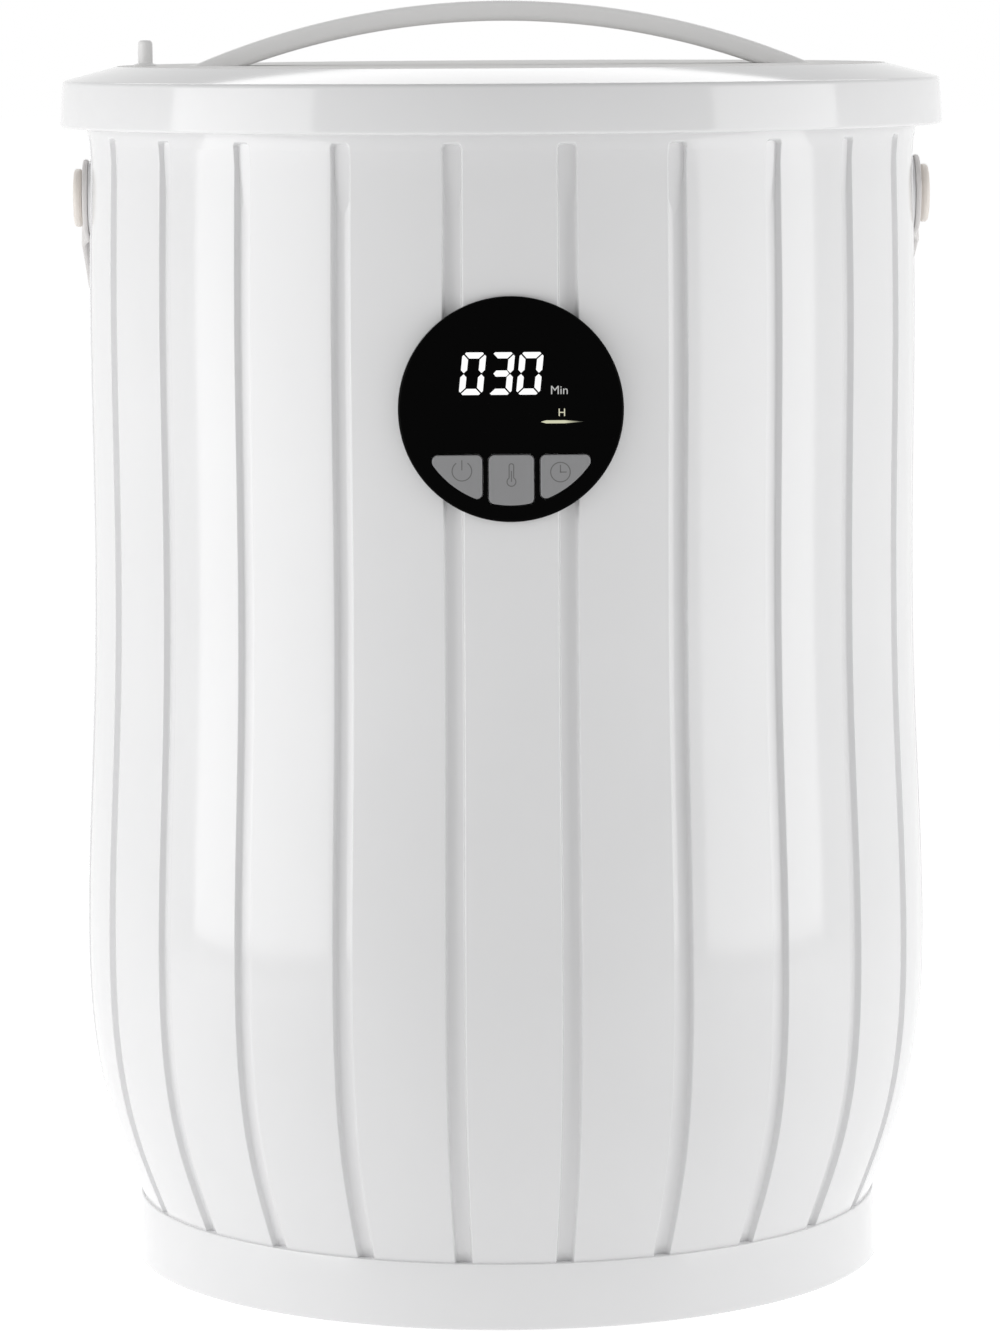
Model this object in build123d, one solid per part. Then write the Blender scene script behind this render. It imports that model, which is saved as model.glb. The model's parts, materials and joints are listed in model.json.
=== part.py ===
from build123d import *
import math
import os

# A free-standing towel warmer bucket. Millimetres, +Z up, the origin on the floor at the
# centre of the base. The control panel faces -Y and the carry strap hangs behind, at +Y.

# ---- Driving dimensions ----

# Gaps between pieces
running_gap = 0.35          # between pieces that move past each other
pin_gap = 0.05              # round a pin that turns in its hole
fit_gap = 0.15              # between pieces fixed to each other
screw_gap = 0.1             # round a screw in its hole
rim_gap = 0.5               # between the raised strap and the lid's rim
seat_gap = 0.25             # between the lid's seal and the rim it rests on

# Outer shell. Its outline is given by steps out (+) or in (-) from the waist's radius, at
# heights above the base ring or below the shell's top edge.
waist_radius = 144.9
foot_step = -14.2
heel_step = -2.9
belly_step = 4.1
flank_step = 1.0
shoulder_step = 0.4
neck_step = -0.6
top_step = 0.4
heel_rise = 31.0
belly_rise = 92.7
flank_rise = 178.3
waist_drop = 132.0
shoulder_drop = 59.0
neck_drop = 8.0
shell_height = 376.4
shell_wall = 3.2
groove_count = 24
groove_width = 6.0
groove_depth = 2.0
groove_top_drop = 0.6
groove_corner = 1.6

# Base
foot_height = 3.0
foot_radius = 9.0
foot_inset = 22.4           # from the ring's top edge to the middle of each foot
foot_count = 4
ring_bottom_z = 1.2
ring_top_z = 23.6
ring_ledge = 0.9            # how far the ring stands out past the shell's foot
ring_flare = 1.7            # how much wider the ring is at its bottom
ring_wall = 3.0
ring_flange = 12.0          # inward ledge that the bottom cover is screwed to
ring_flange_thickness = 2.5
spigot_height = 8.0         # upstand that centres the shell on the ring
spigot_wall = 3.0
cover_thickness = 2.5
cover_screw_count = 4
cover_screw_radius = 1.5
cover_screw_head = 3.2
cover_screw_head_height = 1.3
cover_screw_length = 10.0
boss_wall = 0.8             # round a screw's head, seen from above
boss_roof = 1.0             # over the end of a screw

# Towel chamber
wall_space = 17.5           # from the shell's waist to the inside of the liner
liner_wall = 1.0
liner_floor_z = 70.0
liner_corner = 12.0
liner_flange = 7.0
collar_thickness = 2.4
collar_inset = 2.3          # from the shell's top edge to the collar's
collar_plug_depth = 10.0
collar_plug_wall = 3.0

# Heating
band_thickness = 1.5
band_rise = 25.0            # above the liner's floor
band_height = 160.0
insulation_thickness = 9.0
insulation_rise = 12.0      # above the liner's floor
insulation_drop = 14.0      # below the shell's top edge
insulation_window_gap = 5.0
plate_inset = 32.0          # from the liner's wall to the plate's edge
plate_thickness = 4.0
stud_count = 3
stud_inset = 25.0           # from the plate's edge to the studs
stud_radius = 2.0
stud_length = 11.0
nut_radius = 4.0
nut_height = 3.2
thermostat_radius = 8.0
thermostat_height = 8.0
fuse_radius = 2.6
fuse_length = 15.0
fuse_x = 28.0
sensor_radius = 3.5
sensor_height = 7.0
sensor_x = -34.0
sensor_lead_radius = 1.1

# Power board, seen from above
board_width = 96.0
board_depth = 62.0
board_thickness = 1.6
board_y = -22.0
board_standoff = 6.0
board_post_radius = 3.6
board_post_inset = 5.0
board_screw_radius = 1.3
board_screw_head = 2.6
board_screw_head_height = 1.6
board_screw_gap = 0.5       # under the tip of each screw
board_edge = 1.0            # from the board's edge to the blocks along it
terminal_width = 30.0
terminal_depth = 10.0
terminal_height = 12.0
terminal_bevel = 1.5
connector_width = 16.0
connector_depth = 6.0
connector_height = 8.0
transformer_inset = 12.0    # from the board's left edge
transformer_width = 28.0
transformer_depth = 24.0
transformer_height = 20.0
transformer_forward = 14.0  # in front of the board's middle
transformer_corner = 2.0
relay_inset = 14.0          # from the board's right edge
relay_width = 15.0
relay_depth = 19.0
relay_height = 16.0
relay_forward = 12.0
relay_corner = 1.0
capacitor_radius = 7.0
capacitor_height = 20.0
capacitor_back = 15.0       # behind the board's middle
capacitor_corner = 1.0
lead_radius = 1.4
lead_spacing = 8.0
lead_bend = 12.0
ribbon_width = 12.0
ribbon_thickness = 0.7
ribbon_wall_gap = 0.5       # between the ribbon and the inside of the shell
ribbon_floor_gap = 2.0      # over the liner's floor, where the ribbon turns in
ribbon_toe_in = 10.0        # inside the spigot
ribbon_toe_rise = 8.0       # above the spigot

# Cord gland at the lower back
gland_z = 48.0
gland_boss_radius = 9.0
gland_neck_radius = 6.2
gland_bore_radius = 3.7
gland_proud = 1.6
gland_depth = 14.0
gland_corner = 0.8

# Control panel
panel_drop = 87.3           # from the shell's top edge to the panel's middle
panel_radius = 37.0
panel_proud = 2.2
panel_lip = 3.4             # from the panel's edge to the neck that goes through the shell
panel_wall = 2.0
panel_depth = 15.4
lens_thickness = 2.0
lens_edge = 1.2
control_board_thickness = 1.6
control_board_setback = 7.6
control_board_ledge = 3.5
control_screw_count = 3
control_screw_inset = 2.15  # from the pocket's wall
control_screw_radius = 1.0
control_screw_head = 1.8
control_screw_head_height = 1.2
control_screw_length = 3.2
display_x = -3.2
display_rise = 11.6
display_height = 19.0
display_gap = 0.3           # from the display's corners to the pocket's wall

# Buttons, measured from the centre of the panel
key_margin = 5.6            # from the panel's edge to the buttons' round edge
key_top_drop = 14.8
middle_key_width = 14.7
side_key_inset = 5.5        # from the buttons' round edge to their upright side
key_spacing = 2.2
key_corner = 1.8
key_proud = 0.6
key_edge = 0.4
key_thickness = 3.6
key_travel = 0.8
switch_size = 6.0
switch_height = 3.4
switch_drop = 1.2           # below the keys' top edge
switch_shift = 0.9          # the side switches stand this much nearer the middle
switch_floor = 0.4          # under a key's plunger when it is pressed
plunger_radius = 1.7
plunger_sunk = 1.4

# Carry strap and its rivets. The strap is measured along its arms, from the rivets.
pivot_drop = 22.6           # from the shell's top edge to the rivets
strap_thickness = 1.8
strap_end_width = 27.0
strap_arm_width = 17.0
strap_bow_width = 14.0
strap_neck = 30.0           # where the end has narrowed to the arm
strap_arm = 65.0            # where the arm begins to bend round to the bow
strap_pass = 4.2            # between the lid's edge and the bow as it goes by
strap_joggle = 2.1          # how far the arms stand out from the ends
strap_joggle_start = 12.0
strap_joggle_end = 22.0
rivet_head_radius = 10.3
rivet_head_thickness = 3.4
rivet_head_edge = 1.0
rivet_radius = 4.0
rivet_tail = 0.5            # what shows of the rivet inside its washer
washer_radius = 8.0
washer_thickness = 1.5
washer_window = 2.0         # round a washer, in the insulation

# Lid
lid_overhang = 9.6         # from the shell's top edge to the rim
lid_gap = 2.3               # from the shell's top edge up to the rim
lid_height = 21.1
lid_plateau_inset = 20.1    # steps in from the rim and down from the top
lid_bevel_inset = 2.6
lid_bevel_drop = 4.7
lid_shoulder_inset = 1.1
lid_shoulder_drop = 6.6
lid_wall = 2.5
lid_corner = 1.2            # rounding between bevel and rim
lid_rim_edge = 0.8
recess_wall = 1.9           # wall left behind the flat in the rim that the strap passes
recess_front = 11.0
lid_rib_wall = 2.5
lid_root = 0.5              # how far ribs and bosses run into the lid's plate
lid_liner_thickness = 2.0
lid_liner_lip = 3.2         # past the rib that carries it
lid_seal_height = 1.85
lid_seal_width = 4.8
lid_insulation_gap = 1.0
lid_screw_count = 4
lid_screw_inset = 18.8      # from the rib
lid_screw_radius = 1.5
lid_screw_head = 3.0
lid_screw_head_height = 1.4
lid_screw_length = 11.0
lid_boss_radius = 4.0
lid_handle_half_span = 108.0
lid_handle_rise = 22.1
lid_handle_thickness = 7.0
lid_handle_width = 22.0
lid_handle_edge = 1.6
lid_handle_toe = 3.0        # cut from each end so that it isn't a knife edge
handle_screw_inset = 15.0   # from the handle's end
handle_screw_y = 5.5
handle_screw_radius = 1.5
handle_screw_head = 3.0
handle_screw_head_height = 1.8
handle_screw_grip = 3.5
peg_inset = 10.0            # from the edge of the lid's flat top
peg_radius = 2.6
peg_height = 9.0
peg_tip = 2.3               # rounding of its end
peg_flange_radius = 4.0
peg_flange_height = 0.6


# ---- The shell's outline ----

shell_top_z = ring_top_z + shell_height


def wall_line(offset):
    """The shell's outline from the base ring to the collar, moved out by offset."""
    places = [
        (foot_step, ring_top_z),
        (heel_step, ring_top_z + heel_rise),
        (belly_step, ring_top_z + belly_rise),
        (flank_step, ring_top_z + flank_rise),
        (0, shell_top_z - waist_drop),
        (shoulder_step, shell_top_z - shoulder_drop),
        (neck_step, shell_top_z - neck_drop),
    ]
    side = Spline([(waist_radius + step + offset, z) for step, z in places])
    top = (waist_radius + top_step + offset, shell_top_z)
    return side, TangentArc(side @ 1, top, tangent=side % 1)


def outline_samples(steps=240):
    """Radius and height all along the shell's outline."""
    points = [line @ (i / steps) for line in wall_line(0) for i in range(steps + 1)]
    return [(point.X, point.Y) for point in points]


shell_samples = outline_samples()


def shell_radii(low, high):
    """The shell's smallest and largest outer radius from one height to another."""
    radii = [radius for radius, z in shell_samples if low <= z <= high]
    return min(radii), max(radii)


# ---- Places that follow from them ----

shell_foot_radius = waist_radius + foot_step
shell_reach = shell_radii(ring_top_z, shell_top_z)[1]
cover_bottom_z = foot_height
cover_top_z = cover_bottom_z + cover_thickness
flange_top_z = cover_top_z + ring_flange_thickness
ring_top_radius = shell_foot_radius + ring_ledge
ring_bottom_radius = ring_top_radius + ring_flare
ring_inner_top = ring_top_radius - ring_wall
foot_circle = ring_top_radius - foot_inset
cover_radius = ring_inner_top - fit_gap
flange_radius = cover_radius - ring_flange
cover_screw_circle = flange_radius + ring_flange / 2
spigot_radius = shell_foot_radius - shell_wall - fit_gap
liner_radius = waist_radius - wall_space
liner_outer = liner_radius + liner_wall
collar_top_z = shell_top_z + collar_thickness
collar_radius = waist_radius + top_step - collar_inset
liner_top_z = collar_top_z + liner_wall
band_inner = liner_outer + pin_gap
band_outer = band_inner + band_thickness
insulation_inner = band_outer + fit_gap
insulation_outer = insulation_inner + insulation_thickness
liner_base_z = liner_floor_z - liner_wall
plate_radius = liner_radius - plate_inset
plate_bottom_z = liner_base_z - plate_thickness
stud_circle = plate_radius - stud_inset
gland_rim_y = shell_radii(gland_z - gland_boss_radius, gland_z + gland_boss_radius)[1] + gland_proud
board_bottom_z = cover_top_z + board_standoff
board_top_z = board_bottom_z + board_thickness
board_front_y = board_y - board_depth / 2
board_back_y = board_y + board_depth / 2
terminal_y = board_back_y - board_edge - terminal_depth / 2
panel_z = shell_top_z - panel_drop
panel_neck_radius = panel_radius - panel_lip
panel_front_y = -shell_radii(panel_z - panel_radius, panel_z + panel_radius)[1] - panel_proud
lens_back_y = panel_front_y + lens_thickness
control_board_front_y = lens_back_y + control_board_setback
control_board_back_y = control_board_front_y + control_board_thickness
housing_back_y = panel_front_y + panel_depth
housing_pocket_radius = panel_neck_radius - panel_wall
control_board_radius = housing_pocket_radius - fit_gap
display_top = display_rise + display_height / 2
display_reach = math.sqrt(housing_pocket_radius ** 2 - display_top ** 2) - display_gap
display_width = 2 * (display_reach - abs(display_x))
key_field_radius = panel_radius - key_margin
side_key_reach = key_field_radius - side_key_inset
key_front_y = panel_front_y - key_proud
key_back_y = key_front_y + key_thickness
switch_front_y = control_board_front_y - switch_height
lid_rim_z = shell_top_z + lid_gap
lid_top_z = lid_rim_z + lid_height
lid_rim_radius = waist_radius + top_step + lid_overhang
lid_plateau_radius = lid_rim_radius - lid_plateau_inset
lid_shoulder_radius = lid_rim_radius - lid_shoulder_inset
lid_shoulder_z = lid_top_z - lid_shoulder_drop
lid_screw_circle = lid_plateau_radius - lid_screw_inset
lid_liner_top_z = liner_top_z + seat_gap + lid_seal_height + lid_liner_thickness
lid_liner_bottom_z = lid_liner_top_z - lid_liner_thickness
lid_seal_bottom_z = lid_liner_bottom_z - lid_seal_height
lid_plate_bottom_z = lid_top_z - lid_wall
peg_x = peg_inset - lid_plateau_radius
pivot_z = shell_top_z - pivot_drop
strap_end_low = pivot_z - strap_end_width / 2
strap_end_high = pivot_z + strap_end_width / 2
strap_ear_in = shell_radii(strap_end_low, strap_end_high)[1] + fit_gap
strap_ear_out = strap_ear_in + strap_thickness
strap_reach = math.hypot(lid_shoulder_radius, lid_shoulder_z - pivot_z) + strap_pass
rivet_head_in = strap_ear_out + running_gap
rivet_head_out = rivet_head_in + rivet_head_thickness
inner_wall = shell_radii(pivot_z - washer_radius, pivot_z + washer_radius)[0] - shell_wall
washer_out = math.sqrt(inner_wall ** 2 - washer_radius ** 2) - fit_gap
washer_in = washer_out - washer_thickness
strap_arm_in = strap_ear_in + strap_joggle
recess_flat = strap_arm_in - rim_gap
handle_outer_radius = (lid_handle_half_span ** 2 + lid_handle_rise ** 2) / (2 * lid_handle_rise)
handle_centre_z = lid_top_z + lid_handle_rise - handle_outer_radius
handle_screw_x = lid_handle_half_span - handle_screw_inset


# ---- Simple forms ----

def disc(radius, low, high, x=0, y=0):
    return Pos(x, y, (low + high) / 2) * Cylinder(radius, high - low)


def ring(outer, inner, low, high):
    return disc(outer, low, high) - disc(inner, low - 1, high + 1)


def block(width, depth, low, high, x=0, y=0):
    return Pos(x, y, (low + high) / 2) * Box(width, depth, high - low)


def rod_x(radius, start, end, y, z):
    return Pos((start + end) / 2, y, z) * Rot(0, 90, 0) * Cylinder(radius, abs(end - start))


def rod_y(radius, start, end, x, z):
    return Pos(x, (start + end) / 2, z) * Rot(90, 0, 0) * Cylinder(radius, abs(end - start))


def around(count, radius, turn=0):
    step = 2 * math.pi / count
    start = math.radians(turn)
    return [(radius * math.cos(start + i * step), radius * math.sin(start + i * step))
            for i in range(count)]


def turned(points):
    section = Plane.XZ * make_face(Polyline(points, close=True))
    return revolve(section, Axis.Z)


def panel_plate(outline, front_y, back_y):
    plane = Plane(origin=(0, back_y, panel_z), x_dir=(1, 0, 0), z_dir=(0, -1, 0))
    return extrude(plane * outline, amount=back_y - front_y)


def group(solids):
    return Compound(children=list(solids))


# ---- Outer shell ----

def wall_section(offset, edge_radius):
    """The flat area between the shell's outline, moved out by offset, and an upright line."""
    side, flare = wall_line(offset)
    low = side @ 0
    high = flare @ 1
    closing = Polyline((high.X, high.Y), (edge_radius, high.Y), (edge_radius, low.Y), (low.X, low.Y))
    return Plane.XZ * make_face([side, flare, closing])


def wall_solid(offset):
    """Everything inside the shell's outline moved out by offset."""
    return revolve(wall_section(offset, 0), Axis.Z)


def groove_cutter():
    """One groove, a thin slice of the space outside its floor, centred on +X."""
    section = wall_section(-groove_depth, shell_reach + groove_depth)
    angle = math.degrees(groove_width / waist_radius)
    cutter = Rot(0, 0, -angle / 2) * revolve(section, Axis.Z, revolution_arc=angle)
    height = shell_height - groove_top_drop
    window = RectangleRounded(groove_width * 4, height * 2, groove_corner)
    foot = Plane(origin=(0, 0, ring_top_z), x_dir=(0, 1, 0), z_dir=(1, 0, 0))
    return cutter & extrude(foot * window, shell_reach * 2)


def outer_shell():
    shell = wall_solid(0) - wall_solid(-shell_wall)
    cutter = groove_cutter()
    half_step = 180 / groove_count
    first = half_step - 90
    shell = shell - [Rot(0, 0, first + i * 2 * half_step) * cutter for i in range(groove_count)]
    far = shell_reach * 2
    shell = shell - rod_y(panel_neck_radius + fit_gap, -far, 0, 0, panel_z)
    shell = shell - rod_y(gland_neck_radius + fit_gap, 0, far, 0, gland_z)
    return shell - rod_x(rivet_radius + pin_gap, -far, far, 0, pivot_z)


# ---- Base ----

def base_ring():
    section = [
        (ring_bottom_radius, ring_bottom_z),
        (ring_top_radius, ring_top_z),
        (spigot_radius, ring_top_z),
        (spigot_radius, ring_top_z + spigot_height),
        (spigot_radius - spigot_wall, ring_top_z + spigot_height),
        (spigot_radius - spigot_wall, ring_top_z - ring_wall),
        (ring_inner_top, ring_top_z - ring_wall),
        (ring_inner_top, flange_top_z),
        (flange_radius, flange_top_z),
        (flange_radius, cover_top_z),
        (ring_inner_top, cover_top_z),
        (ring_inner_top, ring_bottom_z),
    ]
    piece = turned(section)
    screw_top = cover_top_z + cover_screw_length + screw_gap
    for x, y in around(cover_screw_count, cover_screw_circle, 45):
        boss = disc(cover_screw_head + boss_wall, flange_top_z, screw_top + boss_roof, x, y)
        hole = disc(cover_screw_radius + pin_gap, 0, screw_top, x, y)
        piece = piece + boss - hole
    return piece


def board_corners():
    half_x = board_width / 2 - board_post_inset
    half_y = board_depth / 2 - board_post_inset
    return [(sx * half_x, board_y + sy * half_y) for sx in (-1, 1) for sy in (-1, 1)]


def bottom_cover():
    piece = disc(cover_radius, cover_bottom_z, cover_top_z)
    for x, y in board_corners():
        piece = piece + disc(board_post_radius, cover_top_z, board_bottom_z, x, y)
    for x, y in board_corners():
        piece = piece - disc(board_screw_radius + pin_gap, cover_top_z, board_bottom_z + 1, x, y)
    for x, y in around(cover_screw_count, cover_screw_circle, 45):
        piece = piece - disc(cover_screw_radius + screw_gap, 0, cover_top_z + 1, x, y)
    return piece


def cover_screw(x, y):
    head_z = cover_bottom_z - cover_screw_head_height
    head = disc(cover_screw_head, head_z, cover_bottom_z, x, y)
    return head + disc(cover_screw_radius, head_z, cover_top_z + cover_screw_length, x, y)


def rubber_foot(x, y):
    foot = disc(foot_radius, 0, foot_height, x, y)
    return chamfer(foot.edges().group_by(Axis.Z)[0], foot_height / 4)


# ---- Towel chamber ----

def inner_liner():
    inner = disc(liner_radius, liner_floor_z, liner_top_z + 1)
    inner = fillet(inner.edges().group_by(Axis.Z)[0], liner_corner)
    outer = disc(liner_outer, liner_base_z, liner_top_z)
    outer = fillet(outer.edges().group_by(Axis.Z)[0], liner_corner + liner_wall)
    flange = disc(liner_outer + liner_flange, liner_top_z - liner_wall, liner_top_z)
    return outer + flange - inner


def top_collar():
    low = shell_top_z - collar_plug_depth
    plug_outer = shell_radii(low, shell_top_z)[0] - shell_wall - fit_gap
    top = ring(collar_radius, liner_outer + fit_gap, shell_top_z, collar_top_z)
    return top + ring(plug_outer, plug_outer - collar_plug_wall, low, shell_top_z)


# ---- Heating ----

def heater_band():
    low = liner_floor_z + band_rise
    return ring(band_outer, band_inner, low, low + band_height)


def insulation_wrap():
    low = liner_floor_z + insulation_rise
    piece = ring(insulation_outer, insulation_inner, low, shell_top_z - insulation_drop)
    window = panel_neck_radius + insulation_window_gap
    piece = piece - rod_y(window, -shell_reach, 0, 0, panel_z)
    return piece - rod_x(washer_radius + washer_window, -shell_reach, shell_reach, 0, pivot_z)


def heater_plate():
    piece = disc(plate_radius, plate_bottom_z, liner_base_z)
    for x, y in around(stud_count, stud_circle, 90):
        piece = piece - disc(stud_radius + screw_gap, 0, liner_floor_z + 1, x, y)
    return piece


def heater_stud(x, y):
    nut_low = plate_bottom_z - nut_height
    nut = extrude(Pos(x, y, nut_low) * RegularPolygon(nut_radius, 6), nut_height)
    return nut + disc(stud_radius, liner_base_z - stud_length, liner_base_z, x, y)


def thermostat():
    low = plate_bottom_z - thermostat_height
    return disc(thermostat_radius, low, plate_bottom_z, 0, terminal_y)


def thermal_fuse():
    z = plate_bottom_z - fuse_radius
    return rod_y(fuse_radius, board_y - fuse_length / 2, board_y + fuse_length / 2, fuse_x, z)


def temperature_sensor():
    bead_low = plate_bottom_z - sensor_height
    bead = disc(sensor_radius, bead_low, plate_bottom_z, sensor_x, board_y)
    return bead + disc(sensor_lead_radius, board_top_z, bead_low + 1, sensor_x, board_y)


# ---- Power board ----

def power_board():
    piece = block(board_width, board_depth, board_bottom_z, board_top_z, 0, board_y)
    for x, y in board_corners():
        piece = piece - disc(board_screw_radius + screw_gap, 0, board_top_z + 1, x, y)
    return piece


def board_screw(x, y):
    head_top = board_top_z + board_screw_head_height
    head = disc(board_screw_head, board_top_z, head_top, x, y)
    return head + disc(board_screw_radius, cover_top_z + board_screw_gap, head_top, x, y)


def on_board(width, depth, height, x, y):
    return block(width, depth, board_top_z, board_top_z + height, x, y)


def terminal_block():
    piece = on_board(terminal_width, terminal_depth, terminal_height, 0, terminal_y)
    return chamfer(piece.edges().filter_by(Axis.X).group_by(Axis.Z)[-1], terminal_bevel)


def board_connector():
    y = board_front_y + board_edge + connector_depth / 2
    return on_board(connector_width, connector_depth, connector_height, 0, y)


def transformer():
    x = transformer_inset + transformer_width / 2 - board_width / 2
    y = board_y - transformer_forward
    core = on_board(transformer_width, transformer_depth, transformer_height, x, y)
    return fillet(core.edges().filter_by(Axis.Z), transformer_corner)


def relay():
    x = board_width / 2 - relay_width / 2 - relay_inset
    piece = on_board(relay_width, relay_depth, relay_height, x, board_y - relay_forward)
    return fillet(piece.edges().filter_by(Axis.Z), relay_corner)


def capacitor():
    x = board_width / 2 - capacitor_radius - relay_inset
    y = board_y + capacitor_back
    can = disc(capacitor_radius, board_top_z, board_top_z + capacitor_height, x, y)
    return fillet(can.edges().group_by(Axis.Z)[-1], capacitor_corner)


def heater_lead(x):
    low = board_top_z + terminal_height
    high = plate_bottom_z - thermostat_height
    return disc(lead_radius, low, high, x, terminal_y)


def supply_lead(x):
    gland_end = gland_rim_y - gland_depth
    entry_z = board_top_z + terminal_height / 2
    rear = terminal_y + terminal_depth / 2
    run = (gland_end - rear) / 3
    route = FilletPolyline(
        (x, gland_end, gland_z), (x, gland_end - run, gland_z),
        (x, rear + run, entry_z), (x, rear, entry_z), radius=lead_bend)
    return sweep(Plane(origin=route @ 0, z_dir=route % 0) * Circle(lead_radius), path=route)


def panel_ribbon():
    """A flat cable from the board connector up the inside of the shell to the panel."""
    top_z = panel_z - panel_neck_radius
    turn_z = liner_floor_z + ribbon_floor_gap
    outside = ribbon_wall_gap + shell_wall - shell_radii(turn_z, top_z)[0]
    toe_y = ribbon_toe_in + spigot_wall - spigot_radius
    toe_z = ring_top_z + spigot_height + ribbon_toe_rise
    start_y = board_front_y + board_edge
    start_z = board_top_z + connector_height / 2
    t = ribbon_thickness
    strip = Polyline(
        (outside, top_z), (outside, turn_z), (toe_y, toe_z), (start_y, start_z),
        (start_y, start_z + math.sqrt(2) * t), (toe_y + t, toe_z + t),
        (outside + t, turn_z + t), (outside + t, top_z), close=True)
    return extrude(Plane.YZ * make_face(strip), ribbon_width / 2, both=True)


# ---- Cord gland ----

def cord_gland():
    end = gland_rim_y - gland_depth
    boss = rod_y(gland_boss_radius, end, gland_rim_y, 0, gland_z) - wall_solid(fit_gap)
    boss = fillet(boss.edges().group_by(Axis.Y)[-1], gland_corner)
    neck = rod_y(gland_neck_radius, end, gland_rim_y - gland_corner, 0, gland_z)
    return boss + neck - rod_y(gland_bore_radius, end - 1, gland_rim_y + 1, 0, gland_z)


# ---- Control panel ----

def key_outline(left, right, gap):
    """The part of the key field between two upright lines, grown by gap all round."""
    low = -key_field_radius - 1
    top = -key_top_drop
    field = Circle(key_field_radius + gap)
    width = right - left + 2 * gap
    height = top - low + gap
    frame = Pos((left + right) / 2, low + height / 2) * Rectangle(width, height)
    outline = field & frame
    return fillet(outline.vertices(), key_corner + gap)


def middle_span():
    return -middle_key_width / 2, middle_key_width / 2


def right_span():
    return middle_key_width / 2 + key_spacing, side_key_reach


def left_span():
    left, right = right_span()
    return -right, -left


def key_spans():
    return [left_span(), middle_span(), right_span()]


def switch_place(span):
    """Where a key's switch stands, seen from the centre of the panel."""
    middle = (span[0] + span[1]) / 2
    inward = math.copysign(min(switch_shift, abs(middle)), middle)
    return middle - inward, -(key_top_drop + switch_drop + switch_size / 2)


def key_cap(span):
    cap = panel_plate(key_outline(*span, 0), key_front_y, key_back_y)
    return fillet(cap.edges().group_by(Axis.Y)[0], key_edge)


def key_plunger(span):
    x, drop = switch_place(span)
    return rod_y(plunger_radius, key_back_y, switch_front_y + plunger_sunk, x, panel_z + drop)


def tact_switch(span):
    x, drop = switch_place(span)
    middle_y = (switch_front_y + control_board_front_y) / 2
    body = Pos(x, middle_y, panel_z + drop) * Box(switch_size, switch_height, switch_size)
    deep = switch_front_y + plunger_sunk + key_travel + switch_floor
    return body - rod_y(plunger_radius + running_gap, switch_front_y - 1, deep, x, panel_z + drop)


def panel_lens():
    lens = panel_plate(Circle(panel_radius), panel_front_y, lens_back_y)
    lens = fillet(lens.edges().group_by(Axis.Y)[0], lens_edge)
    for span in key_spans():
        lens = lens - panel_plate(key_outline(*span, running_gap), panel_front_y - 1, lens_back_y + 1)
    return lens


def panel_housing():
    """A cup behind the lens: its rim stands on the shell, its neck goes through it."""
    rim = rod_y(panel_radius, lens_back_y, 0, 0, panel_z) - wall_solid(fit_gap)
    rim = rim & rod_y(panel_radius + 1, lens_back_y - 1, -waist_radius / 2, 0, panel_z)
    cup = rim + rod_y(panel_neck_radius, lens_back_y, housing_back_y, 0, panel_z)
    cup = cup - rod_y(housing_pocket_radius, lens_back_y - 1, control_board_back_y, 0, panel_z)
    floor_y = housing_back_y - panel_wall
    pocket = housing_pocket_radius - control_board_ledge
    cup = cup - rod_y(pocket, lens_back_y, floor_y, 0, panel_z)
    for x, z in control_screw_places():
        end = control_board_back_y + control_screw_length + screw_gap
        cup = cup - rod_y(control_screw_radius + pin_gap, lens_back_y, end, x, panel_z + z)
    return cup


def control_screw_places():
    return around(control_screw_count, housing_pocket_radius - control_screw_inset, 90)


def control_board():
    board = rod_y(control_board_radius, control_board_front_y, control_board_back_y, 0, panel_z)
    for x, z in control_screw_places():
        hole = control_screw_radius + screw_gap
        board = board - rod_y(hole, lens_back_y, housing_back_y, x, panel_z + z)
    return board


def control_screw(x, z):
    head_y = control_board_front_y - control_screw_head_height
    end = control_board_back_y + control_screw_length
    head = rod_y(control_screw_head, head_y, control_board_front_y, x, panel_z + z)
    return head + rod_y(control_screw_radius, head_y, end, x, panel_z + z)


def display_module():
    depth = control_board_front_y - lens_back_y - fit_gap
    middle_y = control_board_front_y - depth / 2
    place = Pos(display_x, middle_y, panel_z + display_rise)
    return place * Box(display_width, depth, display_height)


# ---- Carry strap ----

def strap_hang_angle():
    """The angle below level at which the bow's lower edge meets the back of the shell."""
    step = 0.02
    angle = 0
    clear = math.inf
    while clear > running_gap:
        angle += step
        turn = math.radians(angle)
        y = strap_reach * math.cos(turn) - strap_bow_width / 2 * math.sin(turn)
        z = pivot_z - strap_reach * math.sin(turn) - strap_bow_width / 2 * math.cos(turn)
        clear = y - shell_radii(z - strap_thickness, z + strap_thickness)[1]
    return angle - step


def strap_side(side, offset):
    """Half of the strap's line, from its end to the middle of the bow."""
    bend = strap_reach - strap_arm
    ear = side * (strap_ear_in + offset)
    arm = side * (strap_arm_in + offset)
    turn = side * (strap_arm_in - bend)
    middle = side * (strap_arm_in - bend + (bend + offset) * math.sqrt(0.5))
    middle_reach = strap_arm + (bend + offset) * math.sqrt(0.5)
    bow = strap_reach + offset
    straight = Polyline((ear, -strap_end_width), (ear, strap_joggle_start),
                        (arm, strap_joggle_end), (arm, strap_arm))
    corner = ThreePointArc((arm, strap_arm), (middle, middle_reach), (turn, bow))
    return [straight, corner, Line((turn, bow), (0, bow))]


def strap_band():
    """The strap seen square on, laid out with its arms along +Y."""
    edges = []
    for side in (-1, 1):
        edges += strap_side(side, 0) + strap_side(side, strap_thickness)
        ear = side * strap_ear_in
        edges.append(Line((ear, -strap_end_width), (ear + side * strap_thickness, -strap_end_width)))
    return make_face(edges)


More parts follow.
